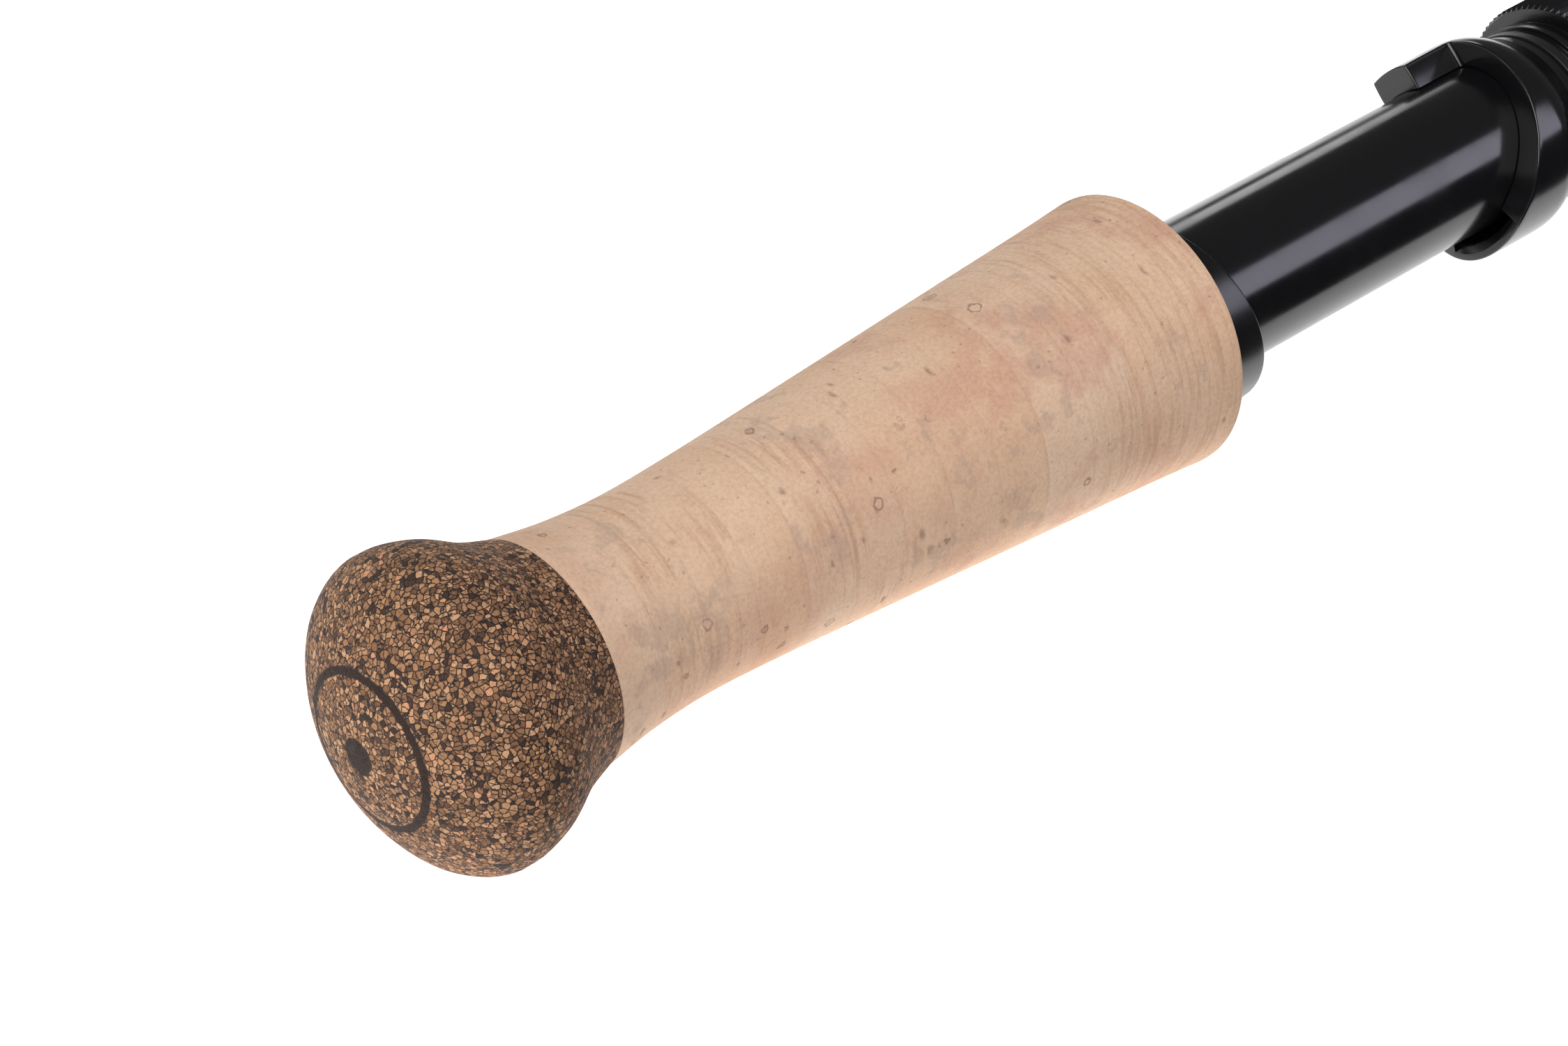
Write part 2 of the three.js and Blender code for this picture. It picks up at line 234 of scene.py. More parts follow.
# ------------------------------------------------------------------ materials
class Shader:
    """A material's node tree with short helpers. Colours are linear."""

    def __init__(self, name, **constants):
        self.material = bpy.data.materials.new(name)
        self.material.use_nodes = True
        self.tree = self.material.node_tree
        self.tree.nodes.clear()
        self.surface = self.tree.nodes.new("ShaderNodeBsdfPrincipled")
        output = self.tree.nodes.new("ShaderNodeOutputMaterial")
        self.tree.links.new(self.surface.outputs[0], output.inputs["Surface"])
        for key, value in constants.items():
            self.surface.inputs[key.replace("_", " ")].default_value = value
        self.place = self.tree.nodes.new("ShaderNodeTexCoord").outputs["Object"]

    def set(self, node, key, value):
        if isinstance(value, bpy.types.NodeSocket):
            self.tree.links.new(value, node.inputs[key])
        else:
            node.inputs[key].default_value = value

    def node(self, kind, inputs=None, **settings):
        made = self.tree.nodes.new("ShaderNode" + kind)
        for key, value in settings.items():
            setattr(made, key, value)
        for key, value in (inputs or {}).items():
            self.set(made, key, value)
        return made

    def math(self, operation, a, b=0.5):
        return self.node("Math", {0: a, 1: b}, operation=operation).outputs[0]

    def times(self, a, b):
        return self.math("MULTIPLY", a, b)

    def stretched(self, vector, scale):
        made = self.node("VectorMath", {0: vector, 1: scale}, operation="MULTIPLY")
        return made.outputs[0]

    def noise(self, scale, detail=3, roughness=0.55, vector=None):
        inputs = {"Scale": scale, "Detail": detail, "Roughness": roughness}
        inputs["Vector"] = self.place if vector is None else vector
        return self.node("TexNoise", inputs)

    def grain(self, scale, detail=3, roughness=0.55, along=None):
        """Noise as one value, on a place that is stretched by the factors in along."""
        vector = None if along is None else self.stretched(self.place, along)
        return self.noise(scale, detail, roughness, vector).outputs["Fac"]

    def cells(self, scale, vector, feature="F1"):
        return self.node("TexVoronoi", {"Scale": scale, "Vector": vector}, feature=feature)

    def parts(self, colour):
        """The three channels of a colour."""
        return self.node("SeparateColor", {0: colour}).outputs

    def painted(self, name):
        """A value that was painted on the mesh's points."""
        return self.node("Attribute", attribute_name=name).outputs["Fac"]

    def wobbled(self, scale, amount, detail=2):
        """The place, shifted a little this way and that, so that cells lose their straight edges."""
        shift = self.noise(scale, detail).outputs["Color"]
        centred = self.node("VectorMath", {0: shift, 1: (0.5, 0.5, 0.5)}, operation="SUBTRACT")
        scaled = self.node("VectorMath", {0: centred.outputs[0], "Scale": amount}, operation="SCALE")
        moved = self.node("VectorMath", {0: self.place, 1: scaled.outputs[0]}, operation="ADD")
        return moved.outputs[0]

    def ramp(self, factor, stops):
        made = self.node("ValToRGB", {0: factor})
        elements = made.color_ramp.elements
        while len(elements) < len(stops):
            elements.new(0.5)
        for element, (position, colour) in zip(elements, stops):
            element.position = position
            value = colour if isinstance(colour, tuple) else (colour,) * 3
            element.color = (*value, 1)
        return made.outputs["Color"]

    def between(self, factor, low, high):
        """0 at low and 1 at high, smoothly between and level beyond; low may be the larger."""
        inputs = {"Value": factor, "From Min": low, "From Max": high}
        return self.node("MapRange", inputs, interpolation_type="SMOOTHSTEP").outputs[0]

    def mix(self, factor, a, b, blend="MIX"):
        made = self.node("Mix", data_type="RGBA", blend_type=blend)
        for index, value in ((0, factor), (6, a), (7, b)):
            if isinstance(value, tuple):
                value = (*value, 1)
            self.set(made, index, value)
        return made.outputs[2]

    def tinted(self, colour, factor, stops):
        """A colour multiplied by a ramp of a factor."""
        return self.mix(1.0, colour, self.ramp(factor, stops), "MULTIPLY")

    def bump(self, height, distance, strength):
        inputs = {"Height": height, "Distance": distance, "Strength": strength}
        return self.node("Bump", inputs).outputs[0]

    def out(self, **sockets):
        for key, value in sockets.items():
            self.set(self.surface, key.replace("_", " "), value)
        return self.material


RING_RADIUS = 8.3 * MM
DOT_RADIUS = 1.8 * MM


def burnt_mark(s, where):
    """1 on a plain ring with a dot in it, burnt into the butt end of the knob."""
    at = s.node("SeparateXYZ", {0: where}).outputs
    across = s.math("POWER", at[1], 2.0)
    up = s.math("POWER", s.math("SUBTRACT", at[2], AXIS_Z), 2.0)
    distance = s.math("SQRT", s.math("ADD", across, up))
    off_ring = s.math("ABSOLUTE", s.math("SUBTRACT", distance, RING_RADIUS))
    line = s.between(off_ring, 0.55 * MM, 0.35 * MM)
    dot = s.between(distance, DOT_RADIUS + 0.3 * MM, DOT_RADIUS)
    on_end = s.between(at[0], BUTT_X + 5 * MM, BUTT_X + 4.5 * MM)
    return s.times(s.math("MAXIMUM", line, dot), on_end)


def composite_cork():
    """Pressed cork granules of many browns, with dark dust and binder between them."""
    s = Shader("composite_cork", Specular_IOR_Level=0.25)
    where = s.wobbled(1600, 0.00045)
    granules = s.cells(1650, where).outputs["Color"]
    edges = s.cells(1650, where, "DISTANCE_TO_EDGE").outputs["Distance"]
    colour = s.ramp(s.parts(granules)[0], [
        (0.0, (0.05, 0.031, 0.024)), (0.08, (0.09, 0.05, 0.033)), (0.16, (0.23, 0.115, 0.06)),
        (0.5, (0.38, 0.195, 0.098)), (0.75, (0.49, 0.265, 0.138)), (0.92, (0.62, 0.36, 0.2)),
        (1.0, (0.66, 0.31, 0.17)),
    ])
    fine = s.cells(3600, where).outputs["Color"]
    dust = s.between(s.parts(fine)[0], 0.8, 0.86)
    colour = s.mix(s.times(dust, 0.6), colour, (0.04, 0.028, 0.024))
    binder = s.between(edges, 0.02, 0.125)
    colour = s.mix(binder, (0.022, 0.017, 0.017), colour)
    grain = s.grain(7000, 2)
    colour = s.tinted(colour, grain, [(0.25, 0.78), (0.75, 1.18)])
    burnt = burnt_mark(s, where)
    colour = s.mix(s.times(burnt, 0.97), colour, (0.03, 0.018, 0.015))
    rough = s.ramp(binder, [(0, 0.62), (1, 0.86)])
    height = s.math("ADD", s.times(binder, 0.6), s.times(grain, 0.4))
    height = s.math("SUBTRACT", height, s.times(burnt, 0.7))
    return s.out(Base_Color=colour, Roughness=rough, Normal=s.bump(height, 0.00012, 0.8))


def cork_specks(s):
    """1 on lenticels, drawn as small outlines or filled in, and at 0.6 on fine dots."""
    where = s.wobbled(900, 0.0011, 3)
    lenticels = s.cells(300, where).outputs
    pick = s.parts(lenticels["Color"])
    in_patch = s.between(s.grain(55, 2), 0.42, 0.55)
    rare = s.times(s.between(pick[0], 0.62, 0.66), in_patch)
    size = s.math("ADD", 0.06, s.times(pick[1], 0.16))
    off = s.math("ABSOLUTE", s.math("SUBTRACT", lenticels["Distance"], size))
    outline = s.between(off, 0.05, 0.012)
    inside = s.between(lenticels["Distance"], size, 0.0)
    filled = s.times(inside, s.between(pick[2], 0.5, 0.6))
    lenticel = s.times(rare, s.math("MAXIMUM", outline, filled))
    dots = s.cells(1300, where).outputs
    chosen = s.between(s.parts(dots["Color"])[0], 0.93, 0.95)
    dot = s.times(chosen, s.between(dots["Distance"], 0.3, 0.15))
    return s.math("MAXIMUM", lenticel, s.times(dot, 0.6))


def natural_cork():
    """Pale cork with growth rings, red and dull patches, specks, and the pits in its mesh."""
    s = Shader("natural_cork", Specular_IOR_Level=0.22, Sheen_Weight=0.05)
    colour = s.ramp(s.grain(60, 3, 0.6), [
        (0.3, (0.71, 0.475, 0.33)), (0.45, (0.76, 0.54, 0.385)), (0.62, (0.79, 0.585, 0.43)),
    ])
    warmer = s.mix(1.0, colour, (0.97, 0.915, 0.865), "MULTIPLY")
    colour = s.mix(s.painted("tone"), colour, warmer)
    along = s.node("SeparateXYZ", {0: s.place}).outputs[0]
    rings = s.grain(1, 4, 0.62, (1500, 90, 90))
    ring_on = s.between(s.grain(110, 2, along=(1, 0.5, 0.5)), 0.45, 0.62)
    at_front = s.times(s.between(along, BUTT_X + 84 * MM, BUTT_X + 90 * MM), 0.75)
    rings = s.mix(s.math("MAXIMUM", ring_on, at_front), (0.6, 0.6, 0.6), rings)
    colour = s.tinted(colour, rings, [(0.33, (0.8, 0.72, 0.66)), (0.55, (1.02, 1.02, 1.02))])
    red = s.between(s.grain(75, 4, 0.68), 0.5, 0.64)
    towards_front = s.between(along, BUTT_X + 45 * MM, BUTT_X + 85 * MM)
    red_strength = s.math("ADD", 0.22, s.times(towards_front, 0.3))
    colour = s.mix(s.times(red, red_strength), colour, (0.62, 0.33, 0.24))
    dull = s.between(s.grain(120, 4, 0.7, (1.2, 1, 1)), 0.56, 0.64)
    colour = s.mix(s.times(dull, 0.42), colour, (0.5, 0.36, 0.28))
    mottled = s.grain(2400, 3, 0.65)
    colour = s.tinted(colour, mottled, [(0.3, (0.88, 0.85, 0.82)), (0.6, (1.03, 1.03, 1.03))])
    speck = cork_specks(s)
    dark = s.math("MAXIMUM", speck, s.painted("pit"))
    colour = s.mix(s.times(dark, 0.62), colour, (0.22, 0.12, 0.09))
    colour = s.mix(s.times(s.painted("seam"), 0.1), colour, (0.42, 0.27, 0.19))
    rough = s.ramp(mottled, [(0.3, 0.88), (0.7, 0.74)])
    height = s.math("SUBTRACT", mottled, s.times(speck, 0.8))
    return s.out(Base_Color=colour, Roughness=rough, Normal=s.bump(height, 0.00006, 0.7))


def black_metal(name, roughness):
    """Black anodised aluminium with fine turning lines and faint smudges."""
    s = Shader(name, Base_Color=(0.0055, 0.0055, 0.0065, 1), Specular_IOR_Level=0.55)
    turning = s.grain(1, 3, 0.6, (9000, 60, 60))
    rough = s.ramp(s.grain(160, 3, 0.6), [(0.35, roughness * 0.85), (0.7, roughness * 1.25)])
    return s.out(Roughness=rough, Normal=s.bump(turning, 0.000004, 0.25))


def plain_black(name, base, roughness, scale, depth):
    """A dark, evenly coloured material with a fine grain in its gloss and its surface."""
    s = Shader(name, Base_Color=(*base, 1))
    fine = s.grain(scale, 3, 0.6)
    rough = s.ramp(fine, [(0.3, roughness * 0.85), (0.7, min(1, roughness * 1.15))])
    return s.out(Roughness=rough, Normal=s.bump(fine, depth, 0.6))


def carbon():
    """Carbon fibre that runs along the rod, under a clear lacquer."""
    s = Shader("lacquered_carbon", Coat_Weight=1.0, Coat_Roughness=0.06, Specular_IOR_Level=0.5)
    fibres = s.grain(1, 3, 0.6, (120, 2600, 2600))
    colour = s.ramp(fibres, [(0.3, (0.006, 0.008, 0.011)), (0.7, (0.022, 0.028, 0.036))])
    rough = s.ramp(fibres, [(0.3, 0.3), (0.7, 0.42)])
    return s.out(Base_Color=colour, Roughness=rough, Normal=s.bump(fibres, 0.00001, 0.3))


# the scale at which a wave texture's stripes lie 0.43 mm apart
THREAD_SCALE = 723.43


def thread_wrap():
    """Turns of fine thread round the rod, under a coat of epoxy."""
    s = Shader("thread_under_epoxy", Coat_Weight=1.0, Coat_Roughness=0.03, Specular_IOR_Level=0.5)
    height = s.node("TexWave", {"Vector": s.place, "Scale": THREAD_SCALE}).outputs["Fac"]
    colour = s.ramp(height, [(0.0, (0.004, 0.005, 0.007)), (1.0, (0.02, 0.024, 0.032))])
    rough = s.ramp(height, [(0, 0.6), (1, 0.35)])
    return s.out(Base_Color=colour, Roughness=rough, Normal=s.bump(height, 0.00002, 0.4))


def wire_steel():
    """Polished steel wire with faint drawing marks."""
    s = Shader("polished_wire", Metallic=1.0, Base_Color=(0.52, 0.53, 0.55, 1))
    fine = s.grain(3000, 2)
    rough = s.ramp(fine, [(0.3, 0.14), (0.7, 0.24)])
    return s.out(Roughness=rough, Normal=s.bump(fine, 0.000005, 0.3))


COMPOSITE = composite_cork()
CORK = natural_cork()
METAL = black_metal("black_anodised", 0.17)
KNURL = black_metal("black_anodised_knurl", 0.24)
SATIN = black_metal("black_anodised_satin", 0.24)
CARBON = carbon()
THREAD = thread_wrap()
WIRE = wire_steel()
NYLON = plain_black("black_acetal", (0.012, 0.012, 0.013), 0.42, 2500, 0.00001)
RUBBER = plain_black("black_rubber", (0.01, 0.01, 0.01), 0.7, 3500, 0.00003)
FOAM = plain_black("grey_arbor_foam", (0.08, 0.078, 0.07), 0.9, 1800, 0.0001)
FERRULE = plain_black("sanded_carbon", (0.02, 0.022, 0.026), 0.55, 5000, 0.00001)

# ------------------------------------------------------------------ the knob and the grips
KNOB_RADIUS = 17
KNOB_SKIN = [
    (0, 0), (0.35, 3.6), (0.95, 6.4), (2.1, 9.6), (3.78, 12.6), (6.2, 15.4),
    (9.5, KNOB_RADIUS), (14, 16.3), (18.5, 13.96), (22.5, 12.56),
]
LOWER_GRIP = smooth_radius([
    (22.5, 12.56), (29.4, 11.58), (36.7, 11.19), (45.7, 11.5),
    (63.9, 12.7), (82, 13.96), (100.2, 15.22), (106.95, 15.78),
])
BLANK_RADIUS = 6.1
BLANK_START = 8.5
BLANK_TAPER = 0.0016
GRIP_BORE = BLANK_RADIUS + 0.1
# half of the gap that the CAD model keeps between glued rings, which the visual rings close
HALF_GAP = 0.05
SEAM_GROOVE = 0.04


def blank_radius(station):
    return BLANK_RADIUS - BLANK_TAPER * (station - BLANK_START)


def knob():
    """The mushroom-shaped knob, with a blind bore for the blank's butt end."""
    end = span("butt_knob")[1]
    skin = through(KNOB_SKIN, 7)
    skin[:, 1] = np.minimum(skin[:, 1], KNOB_RADIUS)
    rim = skin[-1][1]
    floor_of_bore = BLANK_START - 0.3
    outline = [*skin[1:-1], (end - 0.06, rim + 0.02), (end, rim - 0.06)]
    outline += [(end, GRIP_BORE), (floor_of_bore, GRIP_BORE), (floor_of_bore, 0.02)]
    piece = turned("knob", outline, 224, 40, poles=True)
    finish_piece(piece, "butt_knob", COMPOSITE)


knob()


def cork_piece(name, node, radius_at, bore, columns, step, slot="cork", material=CORK):
    """A ring of cork with a fine groove at each seam and a few shallow pits."""
    start, end = span(node)
    start -= HALF_GAP
    end += HALF_GAP
    stations = np.linspace(start, end, max(3, round((end - start) / step)) + 1)
    skin = np.stack([stations, radius_at(stations)], axis=1)
    skin[[0, -1], 1] -= SEAM_GROOVE
    outline = np.concatenate([skin, [(end, bore), (start, bore)]])
    tone = random.random()
    spots = []
    for _ in range(random.randint(3, 9)):
        station = random.uniform(start, end)
        angle = random.uniform(0, 2 * math.pi)
        half_length = random.uniform(0.12, 0.38)
        half_width = random.uniform(0.3, 0.8)
        depth = random.uniform(0.05, 0.22)
        spots.append((station, angle, half_length, half_width, depth))
    pit = np.zeros((len(outline), columns))

    def shape(x, a, r):
        for station, angle, half_length, half_width, depth in spots:
            around = ((a - angle + math.pi) % (2 * math.pi) - math.pi) * r
            ragged = 1 + 0.35 * np.sin(15 * a + station) * np.cos(9 * x + angle)
            distance = ((x - station) / half_length) ** 2 + (around / half_width) ** 2
            inside = np.clip(1.2 - distance * ragged, 0, 1) * (r > bore + 1)
            pit[:] = np.maximum(pit, inside)
            r = r - inside * depth
        return r

    piece = turned(name, outline, columns, 50, shape)
    seam = np.zeros((len(outline), columns))
    seam[[0, len(skin) - 1]] = 1
    painted = {"tone": np.full(pit.size, tone), "pit": pit.ravel(), "seam": seam.ravel()}
    for key, values in painted.items():
        attribute = piece.data.attributes.new(key, "FLOAT", "POINT")
        attribute.data.foreach_set("value", values.astype(np.float32))
    finish_piece(piece, node, material)


COLLAR_RADIUS = 12
LOWER_RINGS = [f"cork_ring_{i:02d}" for i in range(1, 13)]
UPPER_RINGS = [f"upper_cork_ring_{i:02d}" for i in range(1, 15)]


def lower_grip():
    """The rings behind the reel seat; the front one is bored out to take the fixed hood."""
    for node in LOWER_RINGS:
        cork_piece("cork_" + node[-2:], node, LOWER_GRIP, GRIP_BORE, 288, 0.35)
    cork_piece("cork_front", "cork_ring_front", LOWER_GRIP, COLLAR_RADIUS + 0.05, 320, 0.35)


lower_grip()


def grip_from_rings(nodes):
    """A smooth radius through the rims of CAD rings, read from the rings themselves."""
    points = []
    for node in nodes:
        co = np.array([v.co for v in frame["nodes"][node].data.vertices])
        station = (co[:, 0] - BUTT_X) / MM
        radius = np.hypot(co[:, 1], co[:, 2] - AXIS_Z) / MM
        points.append((station.min() - HALF_GAP, radius[station < station.min() + 0.01].max()))
    points.append((station.max() + HALF_GAP, radius[station > station.max() - 0.01].max()))
    return smooth_radius(points)


UPPER_GRIP = grip_from_rings(UPPER_RINGS + ["composite_end_ring"])


def upper_grip():
    """The rings ahead of the reel seat, and the composite ring that ends them."""
    for node in UPPER_RINGS:
        cork_piece("upper_cork_" + node[-2:], node, UPPER_GRIP, BLANK_RADIUS, 224, 0.45)
    end_ring = ("composite_ring", "composite_end_ring", UPPER_GRIP, BLANK_RADIUS, 160, 0.6)
    cork_piece(*end_ring, slot="composite_cork", material=COMPOSITE)


upper_grip()


# ------------------------------------------------------------------ the reel seat
# the bore of the sliding hood, and of the nuts and rings that ride with it
HOOD_BORE = 9.15
HOOD_RADIUS = 12.1
HOOD_POCKET_END = 167
COLLAR_POCKET_END = 101.2
POCKET_RADIUS = 11.25
# half the width of the foot's pocket
POCKET_HALF = 5.5
# shares of the pocket's depth: gained evenly along its length, and gained in its last millimetre
POCKET_SLOPE = 0.6
POCKET_FLARE = 0.4
# half the width of the lug
LUG_HALF = 3.1
# the radius of the hoods' rounded edges
EDGE = 0.22


def hood_piece(name, angle, mouth, rear, outer_radius, bore, pocket_end, flank=None):
    """A hood as one grid of columns from the reel side round to the far side and back.

    angle and mouth give half of the open edge: the angle and the station of each column. rear is
    the station of the other end. flank is the first column that belongs to the lug, whose sides
    stay parallel from the rim down to the bore.
    """
    way = math.copysign(1, rear - mouth[0])
    rim = outer_radius(mouth)
    tangent = np.gradient(np.stack([angle * rim, mouth], axis=1), axis=0)
    tangent /= np.linalg.norm(tangent, axis=1)[:, None]
    inward = way * np.stack([-tangent[:, 1], tangent[:, 0]], axis=1)
    rows = []

    def row(at, station, radius):
        whole = np.ones(len(angle))
        rows.append(np.stack([station * whole, radius * whole, at], axis=1))

    # the rounded edge of the mouth
    for t in np.linspace(0, math.pi / 2, 6):
        offset = EDGE * (1 - math.cos(t))
        station = mouth + inward[:, 1] * offset
        radius = outer_radius(station) - EDGE * (1 - math.sin(t))
        row(angle + inward[:, 0] * offset / rim, station, radius)
    # the outside, the rounded edge of the other end, and that end's face
    first = rows[-1][:, 0]
    top = rows[-1][:, 2]
    for v in np.linspace(0, 1, 26)[1:]:
        station = first + (rear - way * EDGE - first) * v
        row(top, station, outer_radius(station))
    end_radius = outer_radius(np.array([rear]))[0]
    for t in np.radians([30, 60, 90]):
        row(top, rear - way * EDGE * (1 - math.sin(t)), end_radius - EDGE * (1 - math.cos(t)))
    row(top, rear, bore)
    # the bore, with the foot's pocket on the reel side, back out to the mouth
    in_pocket = (np.abs(POCKET_RADIUS * np.sin(angle)) < POCKET_HALF) & (np.cos(angle) > 0)
    deep = np.where(in_pocket, POCKET_RADIUS, bore)
    across = angle.copy()
    if flank is not None:
        side = rim[flank:] * np.sin(angle[flank:])
        across[flank:] = math.pi - np.arcsin(np.clip(side / bore, -1, 1))
    row(across, pocket_end + way * 0.02, bore)
    for v in (*np.linspace(0, 0.84, 8), *np.linspace(0.875, 1, 7)):
        station = pocket_end + (mouth + way * 0.05 - pocket_end) * v
        flare = np.clip(1 - np.abs(station - mouth), 0, 1)
        row(across, station, bore + (deep - bore) * (POCKET_SLOPE * v + POCKET_FLARE * flare))
    for v in (0.3, 0.6, 0.9):
        row(across + (angle - across) * v, mouth, deep + (rim - EDGE - deep) * v)
    grid = np.array(rows)
    mirrored = grid[:, -2:0:-1].copy()
    mirrored[:, :, 2] *= -1
    grid = np.concatenate([grid, mirrored], axis=1)
    x, r, a = grid[..., 0], grid[..., 1], grid[..., 2]
    return grid_piece(name, np.stack([x, r * np.sin(a), r * np.cos(a)], axis=-1), 32)


def hood_angles():
    """Angles from 0 to pi, with close columns beside the pocket's side."""
    pocket_side = math.asin(POCKET_HALF / POCKET_RADIUS)
    close = [pocket_side + d for d in (-0.024, -0.008, 0.008, 0.024)]
    return np.unique(np.round(np.concatenate([np.linspace(0, math.pi, 110), close]), 5))


MOUTH_MIDDLE = 162.45
MOUTH_SLANT = 3.85
MOUTH_BOW = 0.75


def mouth_station(angles):
    """The slanted and slightly bowed open edge of the sliding hood."""
    return MOUTH_MIDDLE - MOUTH_SLANT * np.cos(angles) - MOUTH_BOW * np.cos(2 * angles)


def sliding_hood():
    """The hood that the nut drives, with its slanted mouth and the lug opposite the pocket."""
    start, end = span("sliding_hood")
    lug_side = math.pi - math.asin(LUG_HALF / HOOD_RADIUS)
    angles = hood_angles()
    before = angles[angles < lug_side - 0.06]
    after = angles[angles > lug_side + 0.05]
    # the lug's flank: a fillet at its root, a straight side, and the corner of its end face
    root_fillet = 0.6
    corner = 0.25
    root = mouth_station(lug_side)
    turn = np.linspace(0, math.pi / 2, 7)
    straight = np.linspace(root - 1, start + 0.5, 12)
    flank_x = [root - root_fillet * (1 - np.cos(turn)), straight, start + corner * (1 - np.sin(turn))]
    aside = [-root_fillet * (1 - np.sin(turn)), np.zeros(12), corner * (1 - np.cos(turn))]
    flank_a = lug_side + np.concatenate(aside) / HOOD_RADIUS
    angle = np.concatenate([before, flank_a, after])
    mouth = np.concatenate([mouth_station(before), *flank_x, np.full(len(after), start)])
    profile = smooth_radius([
        (start - 1, 12.0), (start, 12.05), (160, HOOD_RADIUS), (166.2, HOOD_RADIUS),
        (167.4, 11.9), (168.6, 11.45), (170, 10.8), (171.4, 10.25), (end, 10.0),
    ])
    piece = hood_piece("hood", angle, mouth, end, profile, HOOD_BORE, HOOD_POCKET_END, len(before))
    finish_piece(piece, "sliding_hood", METAL, "hood")


sliding_hood()

COLLAR_MOUTH = 112.5
COLLAR_LEAN = 0.26


def fixed_hood():
    """The collar in front of the lower grip, with a leaning mouth and its own pocket."""
    start, end = span("fixed_hood")
    angles = hood_angles()
    mouth = COLLAR_MOUTH + COLLAR_LEAN * COLLAR_RADIUS * np.cos(angles)
    profile = smooth_radius([(start - 1, COLLAR_RADIUS), (end + 1, COLLAR_RADIUS)])
    bore = HOOD_BORE - 0.05
    piece = hood_piece("collar", angles, mouth, start, profile, bore, COLLAR_POCKET_END)
    finish_piece(piece, "fixed_hood", SATIN)


fixed_hood()

BARREL_RADIUS = 9
BARREL_BORE = 7.6
BARREL_CHAMFER = 0.3
KEYWAY_START = 140
KEYWAY_HALF = 1.5
KEYWAY_FLOOR = 8.1
THREAD_PITCH = 1.5
THREAD_START = 165
THREAD_END = 204.6
THREAD_DEPTH = 0.55


def barrel():
    """The tube of the reel seat, with a helical thread and a keyway on the far side."""
    start, end = span("seat_barrel")
    shoulder = BARREL_RADIUS - BARREL_CHAMFER
    plain_start = np.array([start + BARREL_CHAMFER, BARREL_RADIUS])
    plain_end = np.array([THREAD_START - 1, BARREL_RADIUS])
    threaded = np.arange(THREAD_START - 1, THREAD_END + 1, THREAD_PITCH / 10)
    line = [[start, BARREL_BORE], [start, shoulder]]
    line += [*denser([plain_start, plain_end], 3, closed=False)]
    line += [[x, BARREL_RADIUS] for x in threaded[1:]]
    line += [[end - BARREL_CHAMFER, BARREL_RADIUS], [end, shoulder], [end, BARREL_BORE]]

    def shape(x, a, r):
        cycle = ((x - THREAD_PITCH * a / (2 * math.pi)) / THREAD_PITCH) % 1
        crest = np.clip(np.abs(cycle - 0.5) * 3 - 0.25, 0, 1)
        run_in = np.clip((x - THREAD_START) / THREAD_PITCH, 0, 1)
        run_out = np.clip((THREAD_END - x) / THREAD_PITCH, 0, 1)
        outside = r > BARREL_RADIUS - 0.05
        cut = np.where(outside, THREAD_DEPTH * (1 - crest) * run_in * run_out, 0)
        in_keyway = (np.abs(BARREL_RADIUS * np.sin(a)) < KEYWAY_HALF) & (np.cos(a) < 0)
        in_keyway &= (x > KEYWAY_START) & (r > shoulder - 0.2)
        return np.where(in_keyway, KEYWAY_FLOOR, r - cut)

    piece = turned("barrel", line, 180, 30, shape)
    finish_piece(piece, "seat_barrel", METAL)


barrel()


def knurled(count, depth, first, last, inner):
    """A shape for turned() with straight teeth between two stations, outside the inner radius."""
    def shape(x, a, r):
        wave = np.abs(((a * count / (2 * math.pi)) % 1) - 0.5) * 2
        on = (x > first) & (x < last) & (r > inner)
        return np.where(on, r - depth * (1 - wave), r)
    return shape


def lock_nut():
    """The nut that drives the hood: a thin lip, a collar, a groove and a knurled head."""
    start, end = span("lock_nut")
    collar_end = start + 2.2
    head_start = start + 3.2
    corners = [
        (start, HOOD_BORE), (start, 9.75), (start + 0.7, 9.75, 0.1), (start + 0.7, 10.3),
        (collar_end, 10.3, 0.3), (collar_end, 9.9), (head_start, 9.9), (head_start, 11.55),
        (head_start + 0.5, 12), (end - 0.5, 12), (end, 11.5), (end, HOOD_BORE),
    ]
    outline = denser(filleted(corners, 0.12, 3), 0.8)
    teeth = 84
    shape = knurled(teeth, 0.42, head_start + 0.2, end - 0.15, 11.4)
    piece = turned("knurled_nut", outline, teeth * 8, 28, shape)
    finish_piece(piece, "lock_nut", KNURL, "lock_nut")


lock_nut()


def jam_nut():
    """The thinner knurled nut that locks the first one."""
    start, end = span("jam_nut")
    corners = [
        (start, HOOD_BORE), (start, 11.3), (start + 0.5, 11.8),
        (end - 0.5, 11.8), (end, 11.3), (end, HOOD_BORE),
    ]
    outline = denser(filleted(corners, 0.12, 3), 0.8)
    teeth = 96
    shape = knurled(teeth, 0.28, start + 0.2, end - 0.2, 11.1)
    piece = turned("knurled_jam_ring", outline, teeth * 6, 28, shape)
    finish_piece(piece, "jam_nut", KNURL, "jam_nut")


jam_nut()


def ring(name, node, corners, fillet, material, body="rod"):
    """A plain turned ring with rounded corners."""
    piece = turned(name, filleted(corners, fillet), 160, 35)
    finish_piece(piece, node, material, body)


def washers():
    """The slip washer and the seal, which ride with the hood on each side of the lock nut."""
    start, end = span("hood_washer")
    corners = [(start, HOOD_BORE), (start, 10.1), (end, 10.1), (end, HOOD_BORE)]
    ring("slip_washer", "hood_washer", corners, 0.15, NYLON, "hood")
    start, end = span("nut_seal")
    corners = [(start, HOOD_BORE), (start, 10.6), (end, 10.6), (end, HOOD_BORE)]
    ring("seal_ring", "nut_seal", corners, 0.45, RUBBER, "hood")


washers()


